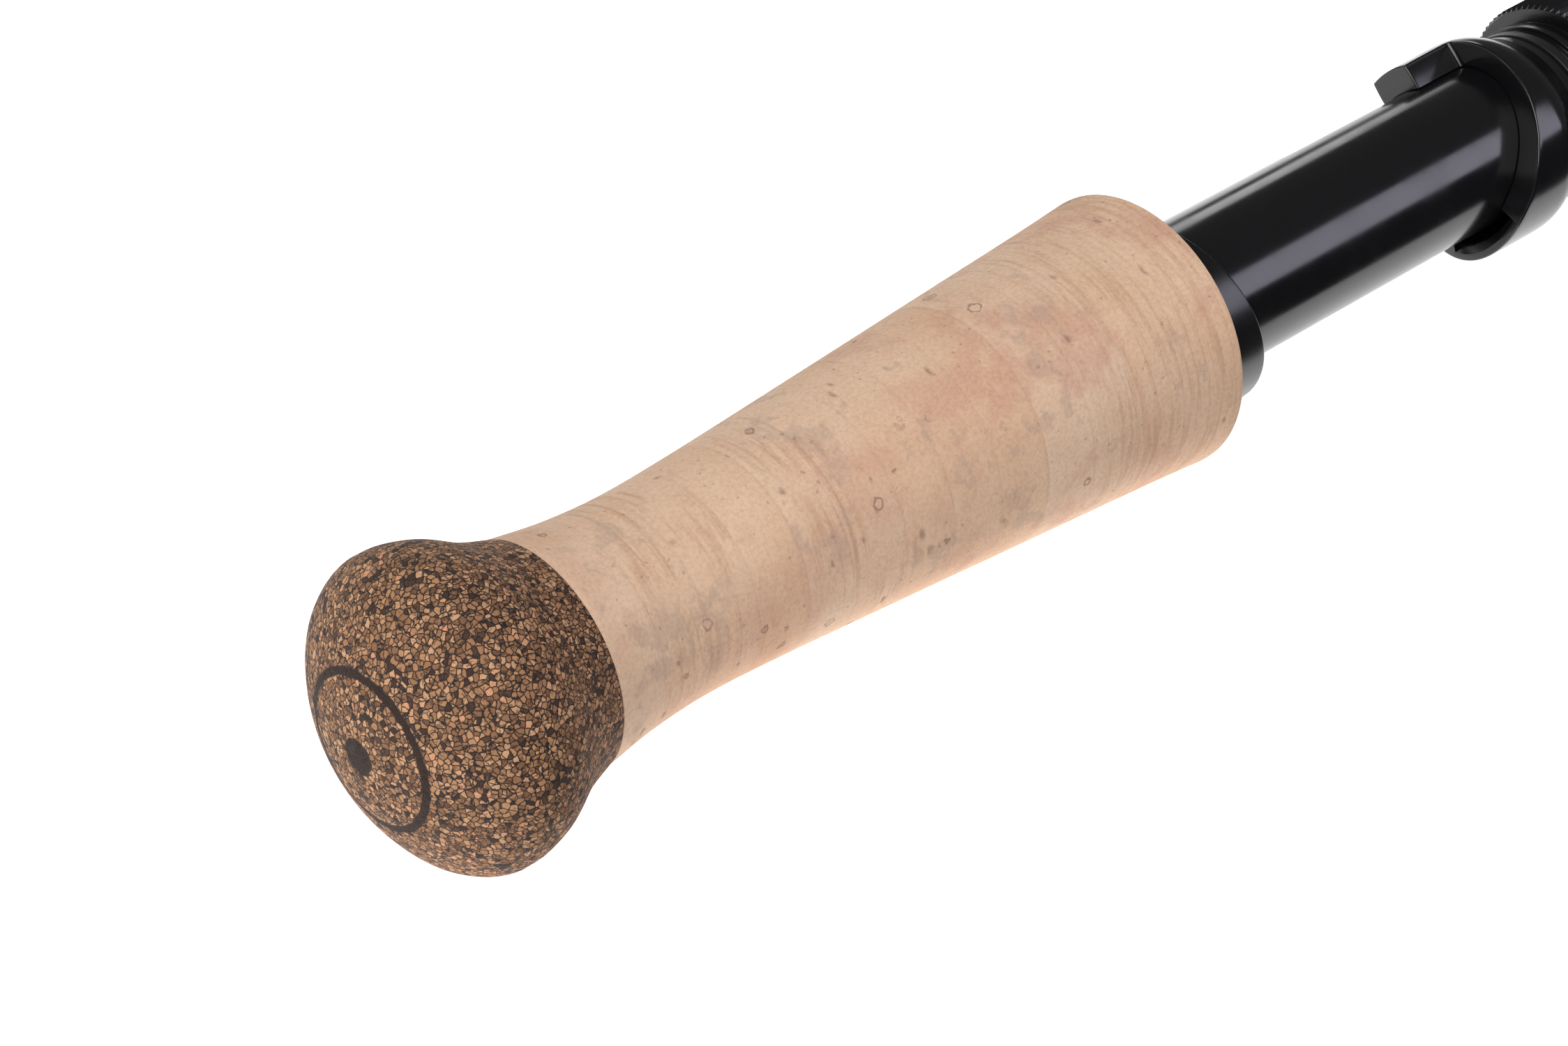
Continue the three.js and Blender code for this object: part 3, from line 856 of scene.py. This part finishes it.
def trim_ring():
    """The ring that closes the reel seat: it sits over the barrel's end and flares to the grip."""
    start, end = span("trim_ring")
    barrel_end = 207.1
    over_barrel = BARREL_RADIUS + 0.05
    over_blank = 5.95
    corners = [
        (start, over_barrel), (start, 10.2), (start + 1, 10.4, 1), (start + 3, 12.4, 1.2),
        (end, 13, 0.3), (end, over_blank), (barrel_end, over_blank), (barrel_end, over_barrel),
    ]
    ring("front_trim", "trim_ring", corners, 0.2, METAL)


trim_ring()


def winding_check():
    """The small tapered ring that ends the upper grip."""
    start, end = span("winding_check")
    bore = blank_radius(start) + 0.05
    corners = [(start, bore), (start, 8.6), (start + 0.9, 8.6, 0.4), (end, 6.9, 0.5), (end, bore)]
    ring("check_ring", "winding_check", corners, 0.15, METAL)


winding_check()


# ------------------------------------------------------------------ the blank and what is bound to it
FERRULE_LENGTH = 46
FERRULE_STEP = 0.25
BLANK_WALL_START = 4.6
BLANK_WALL_END = 3.3


def blank():
    """The tapered carbon tube, with a sanded male ferrule at its front."""
    start, end = span("blank")
    step = end - FERRULE_LENGTH
    tip = blank_radius(end) - FERRULE_STEP
    corners = [
        (start, blank_radius(start)), (step, blank_radius(step)),
        (step + 0.6, blank_radius(step) - FERRULE_STEP), (end - 0.4, tip), (end, tip - 0.3),
        (end, BLANK_WALL_END), (start, BLANK_WALL_START),
    ]
    outline = denser(filleted(corners, 0.15, 3), 12)
    piece = turned("carbon_blank", outline, 96, 35)
    finish_piece(piece, "blank", CARBON)
    piece.data.materials.append(FERRULE)
    for polygon in piece.data.polygons:
        if (polygon.center.x - BUTT_X) / MM > step + 0.2:
            polygon.material_index = 1


blank()


def wrap(name, node, height):
    """A band of thread with thin, rounded ends."""
    start, end = span(node)
    low = blank_radius(start) + 0.02
    top = low + height
    corners = [
        (start, low), (start + 0.25, low + 0.2, 0.3), (start + 1.4, top, 1),
        (end - 1.4, top, 1), (end - 0.25, low + 0.2, 0.3), (end, low),
    ]
    piece = turned(name, denser(filleted(corners, 0.1, 5), 1), 120, 60)
    finish_piece(piece, node, THREAD)


wrap("winding", "check_wrap", 0.42)
wrap("keeper_binding_rear", "rear_foot_wrap", 1.75)
wrap("keeper_binding_front", "front_foot_wrap", 1.75)

KEEPER_START = 412
WIRE_RADIUS = 0.5
WIRE_SIDES = 16


def hook_keeper():
    """A wire arch on the reel side, with a straight foot at each end for the wraps to bind."""
    lie = blank_radius(KEEPER_START) + 0.85
    foot = 7
    width = 8
    rise = 5.5
    far = foot + width
    route = [
        (0, 0), (foot * 0.6, 0), (foot, 0.1), (foot + 1.4, rise * 0.45), (foot + width / 2, rise),
        (far - 1.4, rise * 0.45), (far, 0.1), (far + foot * 0.4, 0), (far + foot, 0),
    ]
    line = through([(KEEPER_START + x, lie + z) for x, z in route], 8)
    centre = np.stack([line[:, 0], np.zeros(len(line)), line[:, 1]], axis=1)
    tangent = np.gradient(centre, axis=0)
    tangent /= np.linalg.norm(tangent, axis=1)[:, None]
    across = np.array([0.0, 1.0, 0.0])
    up = np.cross(tangent, across)
    sides = []
    for a in np.arange(WIRE_SIDES) * 2 * math.pi / WIRE_SIDES:
        sides.append(centre + WIRE_RADIUS * (math.cos(a) * across + math.sin(a) * up))
    points = placed(np.array(sides).transpose(1, 0, 2)).reshape(-1, 3)
    last = (len(line) - 1) * WIRE_SIDES
    faces = [tuple(range(WIRE_SIDES)), tuple(range(last, last + WIRE_SIDES))[::-1]]
    for here in range(0, last, WIRE_SIDES):
        after = here + WIRE_SIDES
        for c in range(WIRE_SIDES):
            d = (c + 1) % WIRE_SIDES
            faces.append((here + c, after + c, after + d, here + d))
    piece = make_mesh("keeper_wire", points, faces, 60)
    finish_piece(piece, "hook_keeper", WIRE)


hook_keeper()

# the arbors keep their CAD shape
for node in ("rear_arbor", "middle_arbor", "front_arbor"):
    mesh = frame["nodes"][node].data
    mesh.materials.clear()
    mesh.materials.append(FOAM)


# ------------------------------------------------------------------ stage, lights and camera
FLOOR_GLOW = 0.8
WORLD_LIGHT = 0.12


def staged(name, points, faces, material):
    """A flat piece of the stage, which isn't part of the object."""
    mesh = bpy.data.meshes.new(name)
    mesh.from_pydata(points, [], faces)
    piece = bpy.data.objects.new(name, mesh)
    piece.data.materials.append(material)
    bpy.context.scene.collection.objects.link(piece)
    return piece


def floor():
    """A plain pale floor with a glow of its own, so that it renders nearly white all over."""
    white = (1, 1, 1, 1)
    glow = {"Emission_Color": white, "Emission_Strength": FLOOR_GLOW}
    pale = Shader("pale_floor", Base_Color=white, Roughness=0.6, **glow).material
    reach = 6
    corners = [(-reach, -reach, 0), (reach, -reach, 0), (reach, reach, 0), (-reach, reach, 0)]
    staged("floor", corners, [(0, 1, 2, 3)], pale)


floor()


def softbox(name, direction, distance, width, height, radiance, colour=(1, 1, 1)):
    """An area light that faces the middle of the rod. radiance is what a mirror of it would show."""
    light = bpy.data.lights.new(name, "AREA")
    light.shape = "RECTANGLE"
    light.size = width
    light.size_y = height
    light.energy = radiance * width * height * math.pi
    light.color = colour
    lamp = bpy.data.objects.new(name, light)
    toward = Vector(direction).normalized()
    lamp.location = Vector((0, 0, 0.02)) + toward * distance
    lamp.rotation_mode = "QUATERNION"
    lamp.rotation_quaternion = toward.to_track_quat("Z", "Y")
    bpy.context.scene.collection.objects.link(lamp)


softbox("key_side", (0.556, -0.72, 0.375), 1.2, 0.5, 0.56, 3.3, (0.86, 0.84, 1.0))
softbox("fill_left", (-0.75, -0.35, 0.75), 1.2, 0.9, 0.9, 4.5, (1.0, 0.985, 0.97))
softbox("back_band", (0.2, 0.95, 0.35), 1.4, 1.6, 0.4, 2.5)


def flag():
    """A black card on the floor beyond the near side, which turns up at its far edge.

    No camera sees it and it casts no lamp shadow. It covers the floor's glow there, which darkens
    the cork and the metal's reflections, most of all on the near side and underneath.
    """
    card = {"Base_Color": (0, 0, 0, 1), "Roughness": 1.0, "Specular_IOR_Level": 0.0}
    black = Shader("black_card", **card).material
    left, right = -0.4, 2.4
    near, far = -0.026, -1.6
    low, top = 0.001, 0.36
    corners = [
        (left, near, low), (right, near, low), (right, far, low),
        (left, far, low), (right, far, top), (left, far, top),
    ]
    piece = staged("flag", corners, [(0, 1, 2, 3), (3, 2, 4, 5)], black)
    piece.visible_camera = False
    piece.visible_shadow = False


flag()

world = bpy.data.worlds.new("studio")
world.use_nodes = True
background = world.node_tree.nodes["Background"]
background.inputs["Color"].default_value = (1, 1, 1, 1)
background.inputs["Strength"].default_value = WORLD_LIGHT
bpy.context.scene.world = world

# the camera looks at a point on the rod's axis
VIEW_STATION = 55.2
VIEW_DISTANCE = 0.441
ELEVATION = math.radians(35.7)
HEADING = Vector((0.685, 0.728, 0)).normalized()
looked_at = Vector((BUTT_X + VIEW_STATION * MM, 0, AXIS_Z))
forward = HEADING * math.cos(ELEVATION) - Vector((0, 0, math.sin(ELEVATION)))

camera = bpy.data.cameras.new("camera")
camera.lens = 100
camera.sensor_width = 36
camera.clip_start = 0.01
camera.clip_end = 50
view = bpy.data.objects.new("camera", camera)
view.location = looked_at - forward * VIEW_DISTANCE
view.rotation_mode = "QUATERNION"
view.rotation_quaternion = forward.to_track_quat("-Z", "Y")
bpy.context.scene.collection.objects.link(view)
bpy.context.scene.camera = view
bpy.context.scene.view_settings.view_transform = "Standard"
